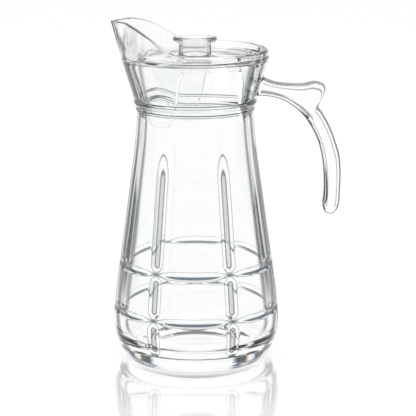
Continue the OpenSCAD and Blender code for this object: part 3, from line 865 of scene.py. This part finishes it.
def legs_tree():
    """Copies of one leg set round the lid at equal turns."""
    tree, g, given = geometry_tree("Legs round the lid", LEG_SIZES)
    count = given["Count"]
    whole = g.node("FunctionNodeFloatToInt", None, {0: count})
    spots = g.node("GeometryNodeMeshLine", {"mode": "OFFSET"}, {"Count": whole, "Offset": (0.0, 0.0, 0.0)})
    order = g.node("GeometryNodeInputIndex")
    turn = (order * 360.0 / count + given["Turn"]) * (math.pi / 180)
    facing = g.node("ShaderNodeCombineXYZ", None, {2: turn})
    ring = g.node("GeometryNodeInstanceOnPoints", None,
                  {0: spots, "Instance": given["Geometry"], "Rotation": facing})
    close_tree(g, ring, given)
    return tree


# Building
# Depths below the spout's edge of the painted glowing line and of the painted grey shade line under it
PAINTED_GLOW_LINE, PAINTED_SHADE_LINE = LIP_T * 0.14, LIP_T * 0.38


def dress(obj, *skins):
    """Give a piece its materials, in order, the first one on every face."""
    obj.data.materials.clear()
    for skin in skins:
        obj.data.materials.append(skin)


def build_jug():
    """Body and handle as one skin, with a painted glowing line along the spout's edge and a painted grey
    shade line below it.
    """
    glass = pressed_glass()
    blank = jug_blank()
    faces_outwards(blank)
    cut = run_tree(blank, cut_pattern_tree(), PATTERN, glass, "jug_cut")
    jug = joined(cut, handle_bar(), "jug_glass")
    dress(jug, glass, painted_glow_edge("rim_painted_glow", 1.5, 0.9, 0.45), painted_shade_edge("rim_painted_shade"))
    for face in jug.data.polygons:
        place = face.center / MM
        turn = abs(abs(math.degrees(math.atan2(place.y, place.x))) - 180)
        below = rim_z(turn) - place.z
        if spout_part(turn) > 0.1 and below < PAINTED_SHADE_LINE:
            face.material_index = 1 if below < PAINTED_GLOW_LINE else 2
    if "outside" in jug.data.attributes:
        jug.data.attributes.remove(jug.data.attributes["outside"])
    soften(jug, 38)
    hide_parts("jug_body", "handle")
    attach(jug, "jug")


def build_lid():
    """Plate, skirt, knob and legs as one skin, with painted glowing lines along the legs' edges and a painted
    glow with painted shade along the flange's edge.
    """
    plastic = lid_plastic()
    legs = run_tree(one_leg(), legs_tree(), LEG_SIZES, plastic, "legs")
    lid = joined(lid_disc(), legs, "lid_clear")
    dress(lid, plastic, painted_glow_edge("leg_painted_glow", 1.47, 0.3, 0.8),
          painted_glow_edge("flange_painted_glow_and_shade", 1.47, 0.97, 0.05, 0.08))
    for face in lid.data.polygons:
        out = Vector((face.center.x, face.center.y, 0)).normalized()
        if face.center.z < (SKIRT_Z - 0.6) * MM and abs(face.normal.dot(out)) < 0.75:
            face.material_index = 1
        if face.center.z > (KNOB_Z - FLANGE_T) * MM and face.center.dot(out) > (KNOB_R + 1) * MM:
            face.material_index = 2
    soften(lid, 34)
    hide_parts("lid")
    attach(lid, "lid")


# Table, light and camera
# Room by turn from the backdrop (0 behind, 1 in front) and by height of the ray: 1 is white, 0 a dark flag
ROUND = [(0.0, 1.0), (0.125, 1.0), (0.145, 0.02), (0.185, 0.02), (0.2, 0.9), (0.225, 0.9), (0.24, 0.01),
         (0.32, 0.01), (0.36, 0.9), (0.5, 1.0), (1.0, 1.0)]
HIGH = [(0.0, 1.0), (0.42, 1.0), (0.48, 0.15), (0.58, 0.15), (0.64, 0.95), (0.8, 0.8), (1.0, 1.0)]
FRINGES = (0.002, 0, -0.002)
# Distances on the table from the jug's axis, in metres, each with the width over which a change is made
FLAGS_FROM, FLAGS_TO, MIRROR_FADE = (0.14, 0.25), (0.82, 0.15), (0.05, 0.17)
FOOT_SHADE, MIRROR_START = (0.044, 0.005), (0.054, 0.008)


def room_light(g, x, y, height, seen):
    """Colour of the room at each turn, as bent rays see it, with fringes at the flags' edges."""
    turn = x.size().math("ARCTAN2", y) * (1 / math.pi)
    parts = {i: 1.0 - (1.0 - grey(g, ROUND, turn + fringe) * height) * seen
             for i, fringe in enumerate(FRINGES)}
    return g.node("ShaderNodeCombineColor", None, parts)


def skimmed(g, ray):
    """How much a ray sees of the flags: all after one wall's edge, and less after two walls."""
    through = Wire(g, ray.outputs["Is Transmission Ray"]) * (1.0 - Wire(g, ray.outputs["Is Camera Ray"]))
    return through * (Wire(g, ray.outputs["Transmission Depth"]).math("LESS_THAN", 3.5) * 0.65 + 0.35)


def reached(r, edge):
    """0 nearer than an edge on the table and 1 past it, with the edge's width between."""
    start, width = edge
    return ((r - start) / width).clamped()


def white_table_painted_flags():
    """A white glossy table top, with the room's dark flags painted on it for rays bent through the glass, and
    whose mirror image of the jug fades away from it.
    """
    mat, g = material("white_table_painted_flags")
    _, (x, y, _) = object_place(g)
    r = (x * x + y * y).math("SQRT")
    ray = g.node("ShaderNodeLightPath").socket.node
    shown = Wire(g, ray.outputs["Is Camera Ray"])
    bent = (Wire(g, ray.outputs["Is Glossy Ray"]) + Wire(g, ray.outputs["Is Transmission Ray"])).low(1.0)
    # Painted shade: dark flags on the table, seen only by rays bent through the glass.
    seen = skimmed(g, ray) * reached(r, FLAGS_FROM) * (1.0 - reached(r, FLAGS_TO) * 0.75)
    light = room_light(g, x, y, 1.0, seen)
    plain = g.node("ShaderNodeBsdfDiffuse", None, {"Color": (0.95, 0.95, 0.95, 1)})
    glow = g.node("ShaderNodeEmission", None, {"Color": light, "Strength": 1.0})
    base = g.node("ShaderNodeMixShader", None, {0: (shown * 0.86 + bent).low(1.0), 1: plain, 2: glow})
    mirror = g.node("ShaderNodeBsdfGlossy", None, {"Color": (1, 1, 1, 1), "Roughness": 0.04})
    fade = 1.0 - reached(r, MIRROR_FADE)
    beside_foot = reached(r, FOOT_SHADE) * 0.15 + reached(r, MIRROR_START) * 0.5
    top = g.node("ShaderNodeMixShader", None, {0: fade * beside_foot, 1: base, 2: mirror})
    finish_material(g, top)
    corners = [(-3000, -3000, 0), (3000, -3000, 0), (3000, 3000, 0), (-3000, 3000, 0)]
    table = mesh_object("table", corners, [(0, 1, 2, 3)])
    table.data.materials.append(mat)


def studio():
    """A white backdrop with dark flags beside and above it, which draw the dark lines in clear glass."""
    world = bpy.data.worlds.new("studio")
    bpy.context.scene.world = world
    world.use_nodes = True
    world.node_tree.nodes.clear()
    g = Graph(world.node_tree)
    way = g.node("ShaderNodeTexCoord", None, None, 0)
    parts = g.node("ShaderNodeSeparateXYZ", None, {0: way})
    x, y, z = (Wire(g, s) for s in parts.socket.node.outputs)
    ray = g.node("ShaderNodeLightPath").socket.node
    light = room_light(g, x, y, grey(g, HIGH, z.high(0.0)), skimmed(g, ray))
    back = g.node("ShaderNodeBackground", None, {"Color": light, "Strength": 1.0})
    end = world.node_tree.nodes.new("ShaderNodeOutputWorld")
    g.tree.links.new(back.socket, end.inputs["Surface"])


def soft_lamp(name, place, size, power):
    lamp = bpy.data.lights.new(name, "AREA")
    lamp.shape, lamp.size, lamp.energy = "SQUARE", size, power
    obj = bpy.data.objects.new(name, lamp)
    obj.location = place
    obj.rotation_euler = (Vector((0, 0, 0.12)) - Vector(place)).to_track_quat("-Z", "Y").to_euler()
    bpy.context.scene.collection.objects.link(obj)


SENSOR, PICTURE, FOCAL_PIXELS = 36, 416, 1695.3


def camera():
    """The photograph's view: a little above the rim, a little right of the front."""
    turn, away, height = math.radians(2.5), 1.1993, 0.37982
    swing, pitch, roll = math.radians(0.423), math.radians(12.743), math.radians(-0.187)
    eye = Vector((math.sin(turn) * away, -math.cos(turn) * away, height))
    ahead = Vector((-math.sin(turn), math.cos(turn), 0))
    right = Vector((math.cos(turn), math.sin(turn), 0))
    ahead, right = (ahead * math.cos(swing) + right * math.sin(swing),
                    right * math.cos(swing) - ahead * math.sin(swing))
    look = ahead * math.cos(pitch) - Vector((0, 0, 1)) * math.sin(pitch)
    top = right.cross(look)
    right, top = right * math.cos(roll) + top * math.sin(roll), top * math.cos(roll) - right * math.sin(roll)
    data = bpy.data.cameras.new("camera")
    data.sensor_width = SENSOR
    data.lens = FOCAL_PIXELS / PICTURE * SENSOR
    data.clip_end = 20
    obj = bpy.data.objects.new("camera", data)
    obj.matrix_world = Matrix.Translation(eye) @ Matrix((right, top, -look)).transposed().to_4x4()
    bpy.context.scene.collection.objects.link(obj)
    bpy.context.scene.camera = obj


build_jug()
build_lid()
white_table_painted_flags()
studio()
soft_lamp("lamp_left", (-0.9, -0.7, 0.9), 0.6, 6)
soft_lamp("lamp_top", (0.2, 0.1, 1.3), 0.8, 6)
camera()
bpy.context.scene.view_settings.view_transform = "Standard"
